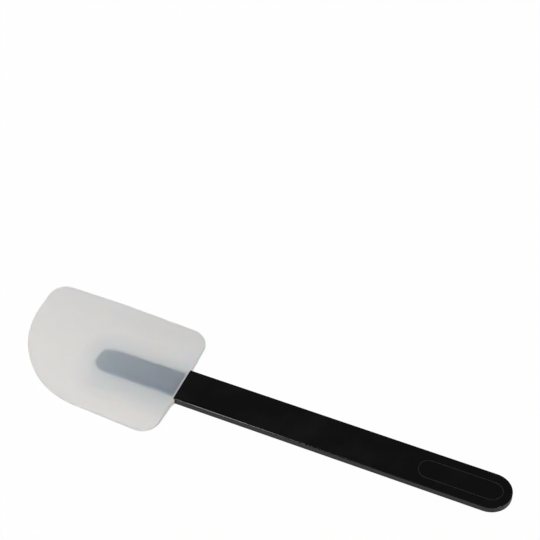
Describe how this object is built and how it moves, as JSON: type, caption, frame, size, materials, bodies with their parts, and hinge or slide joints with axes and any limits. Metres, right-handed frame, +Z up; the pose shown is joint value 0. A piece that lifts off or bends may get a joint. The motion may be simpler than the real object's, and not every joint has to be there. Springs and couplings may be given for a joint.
{
  "type": "silicone spatula",
  "caption": "Kitchen spatula with a flat black bar handle and a broad milky silicone blade that pushes onto the handle's tongue.",
  "frame": {"origin": "under the middle of the whole object's box, on the surface that it lies on", "axes": "+X along the handle from the head to the butt, +Y across the blade to its long straight edge, +Z up"},
  "size_m": [0.2658, 0.0722, 0.0036],
  "materials": {
    "black_nylon": "satin moulded",
    "milky_silicone": "smooth, translucent"
  },
  "bodies": {
    "handle": {"handle": "black_nylon"},
    "head": {"silicone_head": "milky_silicone"}
  },
  "joints": [
    {"name": "head_pull_off", "type": "slide", "parent": "handle", "child": "head", "axis": [-1, 0, 0], "range_m": [0, 0.06]}
  ]
}
